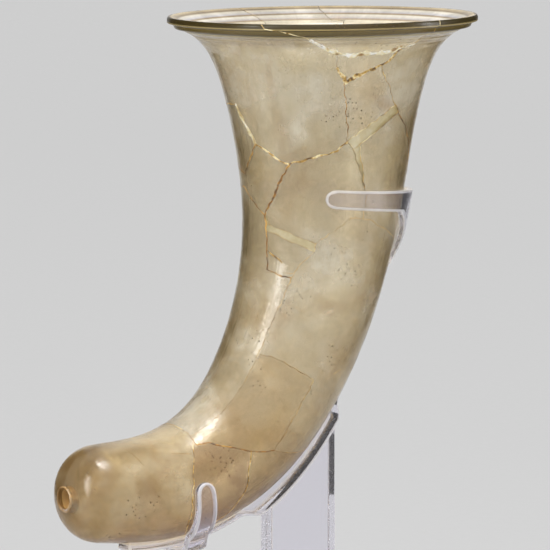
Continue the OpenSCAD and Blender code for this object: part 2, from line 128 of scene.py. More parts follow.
# %% [markdown]
# The cracks are lines of points, written v,s. Sherds on both sides of a crack share its line, so
# the pieces fit as the real ones do. A little wobble, worked out from the place alone, keeps the
# breaks from looking ruled, and both neighbours get the same wobble.

# %% Crack lines
CRACKS = {
    "rim_left": "212,0 213.5,1.8 219,2.9 227,5.5 232,8.1 238,11.5 241,12.5",
    "rim_middle": "241,12.5 251,12.6 267,12.3 274,11.3",
    "rim_right": "274,11.3 281,9.7",
    "rim_rise": "281,9.7 282,0",
    "fork_left": "241,12.5 242,18 246,24",
    "fork_low": "246,24 265,17.5",
    "fork_right": "265,17.5 269,16 274,11.3",
    "stem_left": "246,24 249,41 250,48",
    "right_upper": "265,17.5 281,34",
    "right_step": "281,34 285.5,37",
    "right_lower": "285.5,37 306,49.2 322,63 360,67 380,66",
    "shoulder_far": "106,36 140,35 171,34.5",
    "shoulder_near": "171,34.5 186,50",
    "arch_left": "186,50 206,56.6 212,57.7",
    "arch_right": "212,57.7 241,52.5 250,48",
    "wedge_low": "112,59 140,60 168,64.2 186,50",
    "left_diagonal": "190,82 212,57.7",
    "left_ledge": "116,70 163,70 190,82",
    "band_top": "250,48 281,34",
    "band_tail": "250,48 254,51",
    "band_left": "254,51 257.5,49.4",
    "band_low": "257.5,49.4 285.5,37",
    "wedge_right": "257.5,49.4 265,67",
    "wedge_left": "254,51 265,67",
    "hairline": "265,67 267,79.5",
    "fill_top": "190,82 193.5,86 234,92",
    "fill_left": "190,82 192,89",
    "fill_low": "192,89 233,95.5",
    "fill_end": "233,95.5 234,92",
    "centre_low": "234,92 257,79.2 267,79.5",
    "right_ledge": "267,79.5 275,80 304,85 360,88 372,88",
    "small_left": "192,89 194,98 197,107.5 219,109.5",
    "small_right": "219,109.5 225,101.4 233,95.5",
    "long_crack": "212,135 219,109.5",
    "long_low": "212,147.4 212,135",
    "long_foot": "212,207 212,147.4",
    "ledge": "212,147.4 226,146.5 250,146.6 268,147.2",
    "ledge_drop": "268,147.2 268.6,158.3 270,164.5 276,178.6",
    "lower_ledge": "276,178.6 326,165.2 360,161 376,160",
    "brown_top": "219,207.3 225,207 228,201.5 235,199 244,194.3 251,191 260,187",
    "brown_tail": "260,187 276,178.6",
    "brown_right": "260,187 275,191.7 294,195.4 318,203.4 345,216",
    "ring_left": "114,207 212,207",
    "ring_near": "212,207 219,207.3",
    "ring_front": "219,207.3 225,209.7 232,211.3 252,215.8 269,217.6 307,218.7 345,216",
    "ring_right": "345,216 366,214",
    "ring_back": "366,214 474,207",
    "seam_a": "89.5,0 82.5,5.5 86,14 106,36",
    "seam_b": "106,36 112,59",
    "seam_c": "112,59 116,70",
    "seam_d": "116,70 112,108 108,158 114,207",
    "seam_e": "380,66 400,30 404.5,5.3 410.5,5.8 415.5,1.2 416,0",
    "seam_f": "372,88 380,66",
    "seam_g": "372,88 373.3,112",
    "seam_h": "373.3,112 376,160",
    "seam_i": "366,214 376,160",
    "back_high": "380,66 410,52 445,60 472,59",
    "back_mid": "373.3,112 420,118 472,108",
    "back_low": "376,160 420,168 468,158",
    "seam_d_top": "116,70 112,108",
    "seam_d_mid": "112,108 108,158",
    "seam_d_low": "108,158 114,207",
    "bulb_hair": "223,221.6 231,213.1",
    "bulb_faint": "205,240.5 232,237",
    "side_hair": "285,140.9 293,137.4",
    "small_chip": "194,97.8 209,103.2",
    "low_hair": "195,108.9 220,106.7",
    "rim_white": "229,6.6 232,8.1 238,11.5 241,12.5",
    "fork_stub": "242,18 246,24",
}
CRACK_STEP = 0.9


def wobbled(points):
    """The same small sideways shift wherever a crack passes, none at the lip's edge."""
    turn, s = np.radians(points[:, 0]), points[:, 1]
    ds = 0.22 * np.sin(0.47 * s + 9 * turn) + 0.16 * np.sin(31 * turn - 1.1 * s + 1) + 0.1 * np.sin(83 * turn + s)
    dv = 0.4 * np.sin(0.61 * s + 7 * turn + 2) + 0.3 * np.sin(1.7 * s - 13 * turn) + 0.15 * np.sin(4.1 * s + turn)
    away = np.clip(s / 6, 0, 1)
    return np.stack([points[:, 0] + dv * away, s + ds * away * (s > 0.01)], 1)


def crack(name):
    """A crack as closely spaced points."""
    turned = name.startswith("-")
    past = name.endswith("+")
    corners = np.array([point.split(",") for point in CRACKS[name.strip("-+")].split()], float)
    points = [corners[:1]]
    for a, b in zip(corners[:-1], corners[1:]):
        mm = math.hypot((b[0] - a[0]) * math.radians(float(outer((a[1] + b[1]) / 2))), b[1] - a[1])
        n = max(1, round(mm / CRACK_STEP))
        points.append(a + (b - a) * (np.arange(1, n + 1) / n)[:, None])
    points = wobbled(np.concatenate(points))
    points[:, 0] += 360 if past else 0
    return points[::-1] if turned else points


print("cracks:", len(CRACKS))

# %% [markdown]
# Each sherd is the patch of wall inside a closed loop of cracks: -name runs a crack backwards,
# name+ is a turn further on, and lip:a:b is the mouth's edge from angle a to b. The loop is laid
# flat in millimetres, filled with triangles by a constrained Delaunay triangulation over a common
# grid, and wrapped twice round the horn, once outside and once inside, with a broken edge between.
# The common grid has close rows under the lip, where the steps are. A UV map called horn keeps
# each point's place, [v / 360, s / horn length], for the glass material: inner skins lie INNER
# lengths further on, broken and drilled faces some turns back.

# %% Sherd loops
SHERDS = {
    "rim_front_sherd": "lip:212:282 -rim_rise -rim_right -rim_middle -rim_left",
    "upper_left_sherd": "lip:89.5:212 rim_left fork_left stem_left -arch_right -arch_left -shoulder_near "
                        "-shoulder_far -seam_a",
    "throat_sherd": "rim_middle -fork_right -fork_low -fork_left",
    "upper_right_sherd": "fork_right rim_right rim_rise lip:282:416 -seam_e -right_lower -right_step -right_upper",
    "centre_upper_sherd": "fork_low right_upper -band_top -stem_left",
    "centre_left_sherd": "left_diagonal arch_right band_tail wedge_left hairline -centre_low -fill_top",
    "centre_right_sherd": "band_low right_lower -seam_f -right_ledge -hairline -wedge_right",
    "left_wedge_sherd": "shoulder_far shoulder_near -wedge_low -seam_b",
    "left_middle_sherd": "wedge_low arch_left -left_diagonal -left_ledge -seam_c",
    "small_sherd": "fill_low -small_right -small_left",
    "left_long_sherd": "left_ledge fill_left small_left -long_crack -long_low -long_foot -ring_left -seam_d",
    "main_right_sherd": "long_crack small_right fill_end centre_low right_ledge seam_g seam_h -lower_ledge "
                        "-ledge_drop -ledge long_low",
    "lower_centre_sherd": "ledge ledge_drop -brown_tail -brown_top -ring_near long_foot",
    "brown_sherd": "brown_top brown_right -ring_front",
    "lower_right_sherd": "brown_tail lower_ledge -seam_i -ring_right -brown_right",
    "back_upper_sherd": "seam_e lip:416:449.5 seam_a+ seam_b+ -back_high",
    "back_middle_sherd": "seam_f back_high seam_c+ seam_d_top+ -back_mid -seam_g",
    "back_lower_sherd": "back_mid seam_d_mid+ -back_low -seam_h",
    "back_end_sherd": "seam_i back_low seam_d_low+ -ring_back",
    "resin_fill_upper": "band_top right_step -band_low -band_left -band_tail",
    "resin_fill_wedge": "band_left wedge_right -wedge_left",
    "resin_fill_middle": "fill_top -fill_end -fill_low -fill_left",
}
DEG_MM = 0.5
SEAM_HALF = 0.07
INNER, BREAK_TURNS, DRILL_TURNS = 10, 10, 20
FINE_ROWS = [0, 0.12, 0.35, 0.8, 1.15, 1.5, 1.9, 2.3, 2.5, 2.62, 2.7, 2.9, 3.1, 3.4, 3.9, 4.5, 4.75, 4.9, 5.05, 5.3,
             5.8, 6.4, 6.6, 6.9, 7.05, 7.2, 7.3, 7.4, 7.55, 7.7, 8.2, 8.8, 9.2, 9.45, 9.7, 10.1, 10.8, 11.6, 12.6,
             13.8, 15.2]
grid_s = np.array(FINE_ROWS + list(np.arange(17, HORN_LEN, 2.0)))
COLUMN_DEG = 2.5


def new_object(name, points, faces, smooth_angle=40, places=None):
    """A mesh object; places are its [v, s] pairs, kept as the UV map called horn."""
    mesh = bpy.data.meshes.new(name)
    mesh.from_pydata([tuple(p) for p in points], [], [tuple(int(i) for i in f) for f in faces])
    if places is not None:
        corner = np.zeros(len(mesh.loops), int)
        mesh.loops.foreach_get("vertex_index", corner)
        layer = mesh.uv_layers.new(name="horn")
        layer.uv.foreach_set("vector", (places[corner] / [360, HORN_LEN]).astype(np.float32).ravel())
    work = bmesh.new()
    work.from_mesh(mesh)
    bmesh.ops.recalc_face_normals(work, faces=work.faces)
    work.to_mesh(mesh)
    work.free()
    mesh.shade_smooth()
    mesh.set_sharp_from_angle(angle=math.radians(smooth_angle))
    piece = bpy.data.objects.new(name, mesh)
    bpy.context.scene.collection.objects.link(piece)
    return piece


def tube_faces(rows, count, ring=False):
    """Faces round a stack of closed rows of points, capped at both ends or, as a ring, joined up."""
    faces = [(i * count + j, i * count + (j + 1) % count, (i + 1) % rows * count + (j + 1) % count,
              (i + 1) % rows * count + j) for i in range(rows if ring else rows - 1) for j in range(count)]
    caps = [tuple(range(count))[::-1], tuple((rows - 1) * count + j for j in range(count))]
    return faces if ring else faces + caps


def loop_points(parts):
    """A sherd's closed outline as [v, s] points."""
    points = []
    for part in parts.split():
        if part.startswith("lip"):
            a, b = (float(x) for x in part.split(":")[1:])
            n = int((b - a) / COLUMN_DEG)
            line = np.stack([np.linspace(a, b, n + 1), np.zeros(n + 1)], 1)
        else:
            line = crack(part)
        points.append(line[:-1])
    return np.concatenate(points)


def drawn_in(loop, gap):
    """The outline moved inward by half a seam, but not at the lip."""
    flat = loop * [DEG_MM, 1]
    along = np.roll(flat, -1, 0) - np.roll(flat, 1, 0)
    along /= np.maximum(np.linalg.norm(along, axis=1, keepdims=True), 1e-6)
    x, y = flat[:, 0], flat[:, 1]
    area = np.sum(x * np.roll(y, -1) - np.roll(x, -1) * y)
    inward = np.stack([-along[:, 1], along[:, 0]], 1) * np.sign(area)
    moved = flat + inward * gap
    at_lip = loop[:, 1] < 0.01
    moved[at_lip, 1] = 0
    return moved


def inside(points, loop, margin):
    """Which points lie in the loop and not too near its line."""
    a, b = loop, np.roll(loop, -1, 0)
    px, py = points[:, :1], points[:, 1:]
    crosses = (a[:, 1] > py) != (b[:, 1] > py)
    rise = np.where(b[:, 1] == a[:, 1], 1e-9, b[:, 1] - a[:, 1])
    odd = (crosses & (px < (b[:, 0] - a[:, 0]) * (py - a[:, 1]) / rise + a[:, 0])).sum(1) % 2 == 1
    near = np.hypot(px - a[:, 0], py - a[:, 1]).min(1) < margin
    return odd & ~near


def filled(loop, grid, margin):
    """Triangles inside a flat loop: points, faces and the loop's own point numbers."""
    grid = grid[inside(grid, loop, margin)] if len(grid) else grid
    n = len(loop)
    flat = [Vector(p) for p in np.concatenate([loop, grid])]
    done = delaunay_2d_cdt(flat, [], [list(range(n))], 1, 1e-5, True)
    verts = np.array([tuple(p) for p in done[0]])
    place = {old: new for new, olds in enumerate(done[3]) for old in olds}
    faces = np.array([tuple(f) for f in done[2] if len(f) == 3])
    faces = faces[inside(verts[faces].mean(1), loop, 0)]
    return verts, [tuple(f) for f in faces], [place[i] for i in range(n)]


def two_skins(name, verts, faces, rim, out_r, in_r, smooth, broken=False):
    """A closed plate between two distances from the horn's centre line."""
    v, s, count = verts[:, 0] / DEG_MM, np.maximum(verts[:, 1], 0), len(verts)
    points = np.concatenate([on_horn(s, v, out_r(s, v)), on_horn(s, v, in_r(s, v))])
    back = [tuple(i + count for i in f) for f in faces]
    sides = [(i, j, j + count, i + count) for i, j in zip(rim, rim[1:] + rim[:1]) if i != j]
    places = np.concatenate([np.stack([v, s], 1), np.stack([v, s + INNER * HORN_LEN], 1)])
    piece = new_object(name, points, faces + back + sides, smooth, places)
    if broken:
        mark_faces(piece, [2 * len(faces) + k for k, side in enumerate(sides) if s[side[0]] + s[side[1]] > 0.02],
                   BREAK_TURNS)
    return piece


def mark_faces(piece, numbers, turns):
    """Moves faces some turns back in the horn map, where the glass material finds them."""
    layer = piece.data.uv_layers["horn"].data
    for k in numbers:
        for corner in piece.data.polygons[k].loop_indices:
            layer[corner].uv[0] -= turns


def wall_piece(name, parts):
    """A closed shell of the horn's wall inside a loop of cracks."""
    loop = drawn_in(loop_points(parts), SEAM_HALF)
    low, high = loop.min(0), loop.max(0)
    vs = np.arange(math.floor(low[0] / DEG_MM / COLUMN_DEG), high[0] / DEG_MM / COLUMN_DEG + 1) * COLUMN_DEG
    ss = grid_s[(grid_s > low[1]) & (grid_s < high[1])]
    grid = np.stack(np.meshgrid(vs * DEG_MM, ss, indexing="ij"), -1).reshape(-1, 2)
    return two_skins(name, *filled(loop, grid, 0.45), lambda s, v: outer(s), lambda s, v: inner(s), 35, True)


cup_pieces = {name: wall_piece(name + "_glass", parts) for name, parts in SHERDS.items()}
print("wall pieces:", len(cup_pieces), "points:", sum(len(p.data.vertices) for p in cup_pieces.values()))

# %% [markdown]
# The closed end is one piece, from the ring crack to the drilled outlet. Its columns start on
# the ring crack and run down to the hole's edge. Near the end the horn is straight, so a point
# can be moved from the round cap to the hole's circle across the axis, and its place along the
# axis looked up again from its distance to it.

# %% Closed end with the outlet
OUTLET_R, OUTLET_DROP, OUTLET_EDGE = 4.7, 1.5, 0.5
STRAIGHT_ROWS, CAP_ROWS = 15, 26


def cap_place(r, profile, end):
    s = np.linspace(end - CAP_LEN + 0.5, end, 600)
    return np.interp(-r, -profile(s), s)


def bulb_rows(ring, profile, end, hole_r):
    """Grid of [v, s, r]: straight rows from the crack, then cap rows down to the hole."""
    v, top = ring[:, 0], ring[:, 1]
    rows = []
    for k in np.linspace(0, 1, STRAIGHT_ROWS + 1)[:-1]:
        s = top + (end - CAP_LEN - top) * k
        rows.append(np.stack([v, s, profile(s)], 1))
    turn = np.radians(v)
    for k in np.linspace(0, 1, CAP_ROWS):
        s = end - CAP_LEN + CAP_LEN * math.sin(math.pi / 2 * k) ** (2 / CAP_POWER)
        r, pull = float(profile(s)), k ** 4
        p = r * np.cos(turn) * (1 - pull) + (OUTLET_DROP + hole_r * np.cos(turn)) * pull
        q = r * np.sin(turn) * (1 - pull) + hole_r * np.sin(turn) * pull
        far = np.hypot(p, q)
        place = cap_place(far, profile, end) if k > 0.1 else np.full_like(v, s)
        rows.append(np.stack([np.degrees(np.unwrap(np.arctan2(q, p))), place, far], 1))
    return np.array(rows)


def bulb():
    ring = np.concatenate([crack(n) for n in ("ring_left", "ring_near", "ring_front", "ring_right", "ring_back")])
    keep = np.concatenate([[True], np.linalg.norm(np.diff(ring, axis=0), axis=1) > 1e-6])
    ring = (ring[keep] + [0, SEAM_HALF])[:-1]
    out = bulb_rows(ring, outer, HORN_LEN, OUTLET_R + OUTLET_EDGE)
    lip = out[-1].copy()
    turn = np.radians(ring[:, 0])
    p, q = OUTLET_DROP + OUTLET_R * np.cos(turn), OUTLET_R * np.sin(turn)
    lip[:, 0], lip[:, 2] = np.degrees(np.arctan2(q, p)), np.hypot(p, q)
    lip[:, 1] += OUTLET_EDGE
    back = bulb_rows(ring, inner, HORN_LEN - TIP_WALL, OUTLET_R)[::-1]
    rows = np.concatenate([out, lip[None], back])
    n, m = rows.shape[:2]
    points = on_horn(rows[..., 1], rows[..., 0], rows[..., 2]).reshape(-1, 3)
    rows[len(out) + 1:, :, 1] += INNER * HORN_LEN
    places = np.stack([np.tile(ring[:, 0], n), rows[..., 1].ravel()], 1)
    piece = new_object("bulb_sherd_glass", points, tube_faces(n, m, ring=True), 40, places)
    mark_faces(piece, range((n - 1) * m, n * m), BREAK_TURNS)
    mark_faces(piece, range((len(out) - 1) * m, (len(out) + 1) * m), DRILL_TURNS)
    return piece


cup_pieces["bulb_sherd"] = bulb()
print("closed end:", len(cup_pieces["bulb_sherd"].data.vertices), "points")

# %% [markdown]
# Old adhesive stands a little proud of the glass along each crack, in a bead that widens and
# narrows. Some joints are gold with white painted highlight, others dark brown, and a few cracks
# are only hairlines.
# Each tone is one mesh of closed ribbons that reach a little way into the wall. The table gives
# for each tone its depth, and then the cracks by half their width, all in millimetres.

# %% Adhesive beads
BEADS = {
    # gold with white painted highlight: glints laid on the brightest joints as colour
    "bright_adhesive": (1.1, {0.85: "rim_white shoulder_near", 0.95: "rim_middle", 0.3: "rim_right"}),
    "gold_adhesive": (0.5, {
        0.85: "fork_low", 0.75: "fork_stub", 0.7: "fork_right", 0.5: "arch_left", 0.45: "arch_right",
        0.35: "small_chip", 0.3: "right_step seam_a", 0.25: "shoulder_far back_high back_mid back_low",
        0.22: "brown_right", 0.2: "rim_left rim_rise seam_e", 0.16: "ring_front", 0.14: "band_low fill_end",
        0.12: "wedge_right", 0.1: "band_top"}),
    "brown_adhesive": (0.4, {
        0.45: "left_diagonal", 0.42: "fill_left", 0.32: "small_left", 0.3: "wedge_low brown_top",
        0.25: "ring_near", 0.22: "brown_tail", 0.2: "left_ledge right_lower", 0.16: "stem_left"}),
    "thin_adhesive": (0.1, {
        0.16: "ledge ledge_drop right_upper",
        0.14: "long_crack ring_left ring_right ring_back seam_b seam_c seam_d seam_f seam_g seam_h seam_i",
        0.12: "long_low lower_ledge",
        0.1: "hairline centre_low right_ledge small_right band_tail fill_top fill_low fork_left bulb_hair low_hair",
        0.09: "side_hair", 0.08: "long_foot band_left wedge_left", 0.07: "bulb_faint"}),
}


def bead(points, half, deep, proud=0.07):
    """One ribbon along [v, s] points, as vertices, places and faces."""
    v, s = points[:, 0], points[:, 1]
    across_mm = np.radians(1) * outer(s)
    flat = np.stack([v * across_mm, s], 1)
    along = np.gradient(np.stack([v * across_mm.mean(), s], 1), axis=0)
    along /= np.maximum(np.linalg.norm(along, axis=1, keepdims=True), 1e-6)
    side = np.stack([-along[:, 1], along[:, 0]], 1)
    step = np.arange(len(v))
    swell = {k: half * np.clip(0.75 + 0.4 * np.sin(step * 0.41 + s * 0.3 + k) + 0.25 * np.sin(step * 0.83 + 3 * k)
                               + 0.2 * np.sin(step * 2.3 + s + 2 * k), 0.35, 1.7)[:, None] for k in (-1, 1)}
    rows = []
    for k, lift in ((-1, 0.0), (-0.55, 0.8), (0.55, 0.8), (1, 0.0)):
        w = swell[1 if k > 0 else -1]
        place = np.stack([v, s], 1) + side * w * k / np.stack([across_mm, np.ones_like(v)], 1)
        place[:, 1] = np.maximum(place[:, 1], 0.02)
        rows.append((place, outer(place[:, 1]) + proud * (lift + 0.15)))
    for k in (1, -1):
        place = np.stack([v, s], 1) + side * swell[k] * k * 0.8 / np.stack([across_mm, np.ones_like(v)], 1)
        place[:, 1] = np.maximum(place[:, 1], 0.02)
        rows.append((place, outer(place[:, 1]) - deep))
    verts = np.stack([on_horn(p[:, 1], p[:, 0], r) for p, r in rows], 1).reshape(-1, 3)
    places = np.stack([p for p, r in rows], 1).reshape(-1, 2)
    return verts, places, tube_faces(len(v), len(rows))


def bead_piece(name, deep, lines):
    verts, places, faces, total = [], [], [], 0
    for line, half in ((line, half) for half, names in lines.items() for line in names.split()):
        a, b, c = bead(crack(line), half, deep)
        verts.append(a)
        places.append(b)
        faces += [tuple(i + total for i in f) for f in c]
        total += len(a)
    return new_object(name, np.concatenate(verts), faces, 50, np.concatenate(places))


bead_pieces = {name: bead_piece(name, deep, lines) for name, (deep, lines) in BEADS.items()}
print("adhesive pieces:", list(bead_pieces))

# %% [markdown]
# The mount is bent and cut from one thickness of clear sheet: a claw with two arms and a stem
# that becomes the rail, and a second claw across the rail's lower end. The edges were polished,
# so each solid gets a small rounding with a Bevel modifier.

# %% Claws and rail
STRIP_T, STRIP_W, EASE = 3.4, 8.0, 0.3
CLAW_AT, CLAW_REACH, FAR_REACH, RAIL_FROM, RAIL_TO = 72.0, 123.0, 114.0, 100.0, 236.0
WEB_REACH, WEB_BEND = 58.0, 1.15
RAIL_EXTRA, DEEP_FROM, DEEP_TO, DEEP_RUN = 4.6, 144.0, 187.0, 6.0
YOKE_AT, YOKE_REACH = 213.5, 97.0


def strip_deg(s):
    return np.degrees(STRIP_W / 2 / outer(s))


def polish(piece, radius, segments=3, clamp=True):
    bevel = piece.modifiers.new("polished_edge_painted_light", "BEVEL")
    bevel.width = radius / 1000
    bevel.segments = segments
    bevel.limit_method = "ANGLE"
    bevel.angle_limit = math.radians(40)
    bevel.use_clamp_overlap = clamp
    bevel.harden_normals = True
    # the bevel faces take the second slot, where the light the polished edge gathers is painted white
    bevel.material = 1
    return piece


def rail_extra(s):
    """The rail is deeper where it lies on the post."""
    return RAIL_EXTRA * soft((s - DEEP_FROM) / DEEP_RUN) * (1 - soft((s - DEEP_TO) / DEEP_RUN))


def strip_piece(name, loop, lift=lambda v: 0.0, extra=lambda s: 0.0):
    """A plate of the sheet's thickness wrapped round the horn inside a [v, s] outline."""
    flat = loop * [DEG_MM, 1]
    low, high = flat.min(0), flat.max(0)
    across, down = (np.arange(low[k], high[k], step) for k, step in ((0, 1.1), (1, 1.6)))
    grid = np.stack(np.meshgrid(across, down, indexing="ij"), -1)
    piece = two_skins(name, *filled(flat, grid.reshape(-1, 2), 1.7),
                      lambda s, v: outer(s) + EASE + lift(v) + STRIP_T + extra(s),
                      lambda s, v: outer(s) + EASE + lift(v), 40)
    return polish(piece, 1.0, 4, False)


def arm_end(at, reach, side):
    """Round end of an arm at +reach or -reach degrees, from its upper to its lower corner."""
    turn = np.radians(np.linspace(90, -90, 15))
    half = strip_deg(at)
    return np.stack([360 + side * (reach - half + half * np.cos(turn)), at - STRIP_W / 2 * np.sin(turn)], 1)


def arm_edge(at, start, stop, down):
    """Straight edge of an arm, without its two ends."""
    n = int(abs(stop - start) / 3)
    v = np.linspace(start, stop, n + 1)[1:-1]
    return np.stack([v, np.full_like(v, at + STRIP_W / 2 * down)], 1)


def claw_loop():
    half, e, low = strip_deg(CLAW_AT), strip_deg(RAIL_FROM), CLAW_AT + STRIP_W / 2
    u = np.linspace(1, 0, 16)
    web = np.stack([e + (WEB_REACH - e) * u ** WEB_BEND, low + (RAIL_FROM - low) * (1 - u) ** WEB_BEND], 1)
    rail_s = np.append(np.arange(RAIL_FROM + 2, RAIL_TO - 1, 2.0), RAIL_TO)
    sides = []
    for reach in (FAR_REACH, CLAW_REACH):
        tip = 360 + reach - half
        sides.append(np.concatenate([
            arm_edge(CLAW_AT, 360, tip, -1), arm_end(CLAW_AT, reach, 1), arm_edge(CLAW_AT, tip, 360 + web[0, 0], 1),
            web + [360, 0], np.stack([360 + strip_deg(rail_s), rail_s], 1)]))
    return np.concatenate([sides[0], sides[1][::-1] * [-1, 1] + [720, 0]])


def yoke_loop():
    half = strip_deg(YOKE_AT)
    tip = 360 + YOKE_REACH - half
    right = np.concatenate([arm_edge(YOKE_AT, 360, tip, -1), arm_end(YOKE_AT, YOKE_REACH, 1),
                            arm_edge(YOKE_AT, tip, 360, 1)])
    left = right[::-1] * [-1, 1] + [720, 0]
    return np.concatenate([right, left])


def yoke_lift(v):
    """The lower claw passes outside the rail and comes back to the glass beside it."""
    return (STRIP_T + 0.4) * (1 - soft((np.abs(v - 360) - strip_deg(YOKE_AT) - 5) / 16))


claw_rail = strip_piece("claw_and_rail", claw_loop(), extra=rail_extra)
yoke = strip_piece("lower_claw_strip", yoke_loop(), yoke_lift)
print("claw and rail:", len(claw_rail.data.vertices), "points, lower claw:", len(yoke.data.vertices))

# %% [markdown]
# The post is a flat upright plate whose top is cut to the rail's curve. The base plate has
# rounded corners, and two countersunk holes from below for the screws that hold the post.
# Both are drawn as an outline pulled up, with the same polished rounding.

# %% Post and base plate
POST_X, POST_W, POST_T = -11.75, 31.3, 8.0
BASE_X, BASE_L, BASE_W, BASE_T, CORNER_R = 0.0, 150.0, 110.0, 12.0, 8.0
SCREW_PITCH, SCREW_R, SCREW_PLAY, SCREW_L = 18.0, 2.0, 0.25, 25.0
SCREW_XS = [MOUTH[0] + POST_X - SCREW_PITCH / 2, MOUTH[0] + POST_X + SCREW_PITCH / 2]


def prism(name, outline, axis, low, high):
    """An outline in two axes, pulled along the third."""
    outline = np.array(outline, float)
    n = len(outline)
    points = np.zeros((2 * n, 3))
    other = [i for i in range(3) if i != axis]
    points[:n, other], points[n:, other] = outline, outline
    points[:n, axis], points[n:, axis] = low, high
    piece = new_object(name, points / 1000, tube_faces(2, n), 30)
    for f in piece.data.polygons[-2:]:
        f.use_smooth = False
    return piece


def turned(name, profile, x, y, segments=48):
    """A closed [r, z] profile turned round an upright axis."""
    profile = np.array(profile, float)
    turn = np.linspace(0, 2 * math.pi, segments, endpoint=False)
    points = np.stack([x + profile[:, :1] * np.cos(turn), y + profile[:, :1] * np.sin(turn),
                       np.repeat(profile[:, 1:], segments, 1)], -1).reshape(-1, 3)
    return new_object(name, points / 1000, tube_faces(len(profile), segments), 40)


def cut(piece, tool):
    """Subtracts the tool and removes it."""
    change = piece.modifiers.new("cut", "BOOLEAN")
    change.object, change.operation, change.solver = tool, "DIFFERENCE", "EXACT"
    bpy.context.view_layer.update()
    done = bpy.data.meshes.new_from_object(piece.evaluated_get(bpy.context.evaluated_depsgraph_get()))
    piece.modifiers.clear()
    piece.data = done
    bpy.data.objects.remove(tool)
    return piece


under_s = np.arange(DEEP_FROM + DEEP_RUN, RAIL_TO, 1.0)
under = (on_horn(under_s, 0, outer(under_s) + EASE + STRIP_T + rail_extra(under_s) + 0.05) * 1000)[:, [0, 2]]
post_left, post_right = MOUTH[0] + POST_X - POST_W / 2, MOUTH[0] + POST_X + POST_W / 2
top_x = np.linspace(post_right, post_left, 14)
top_z = np.interp(top_x, under[::-1, 0], under[::-1, 1])
post = prism("clear_post", [(post_left, BASE_T), (post_right, BASE_T)] + list(zip(top_x, top_z)), 1,
             -POST_T / 2, POST_T / 2)
for x in SCREW_XS:
    post = cut(post, turned("screw_room", [(SCREW_R + 0.05, BASE_T - 1), (SCREW_R + 0.05, SCREW_L + 2)], x, 0))
polish(post, 0.5)

corner = np.radians(np.linspace(0, 90, 10))
outline = [(BASE_X + sx * (BASE_L / 2 - CORNER_R) + CORNER_R * math.cos(a + turn),
            sy * (BASE_W / 2 - CORNER_R) + CORNER_R * math.sin(a + turn))
           for sx, sy, turn in ((1, 1, 0), (-1, 1, math.pi / 2), (-1, -1, math.pi), (1, -1, 1.5 * math.pi))
           for a in corner]
base_piece = prism("clear_base", outline, 2, 0, BASE_T)
polish(base_piece, 1.0, 4)
for x in SCREW_XS:
    hole = [(2 * SCREW_R + SCREW_PLAY, -1), (2 * SCREW_R + SCREW_PLAY, 0.4), (SCREW_R + SCREW_PLAY, 2.4),
            (SCREW_R + SCREW_PLAY, BASE_T + 1)]
    base_piece = cut(base_piece, turned("screw_room", hole, x, 0))
print("post top from", top_z.min(), "to", top_z.max())

# %% [markdown]
# Shader maths reads best as plain expressions. A small class wraps one output of a node and
# turns +, -, * and ** into Math nodes; every other node comes from one method, make, and the
# kinds that come up often have a short name of their own. Ramp colours are given as seen.

# %% Shader expressions
class Out:
    """One output socket that can be used in arithmetic."""

    def __init__(self, shop, socket):
        self.shop, self.socket = shop, socket

    def math(self, operation, *others, clamp=False):
        return self.shop.make("Math", {"operation": operation, "use_clamp": clamp},
                              dict(enumerate([self, *others])))

    def __add__(self, other): return self.math("ADD", other)
    __radd__ = __add__
    def __mul__(self, other): return self.math("MULTIPLY", other)
    __rmul__ = __mul__
    def __sub__(self, other): return self.math("SUBTRACT", other)
    def __rsub__(self, other): return self.shop.make("Math", {"operation": "SUBTRACT"}, {0: other, 1: self})
    def __pow__(self, other): return self.math("POWER", other)
    def clamp(self): return self.math("MULTIPLY", 1, clamp=True)
    def at_least(self, other): return self.math("MAXIMUM", other)


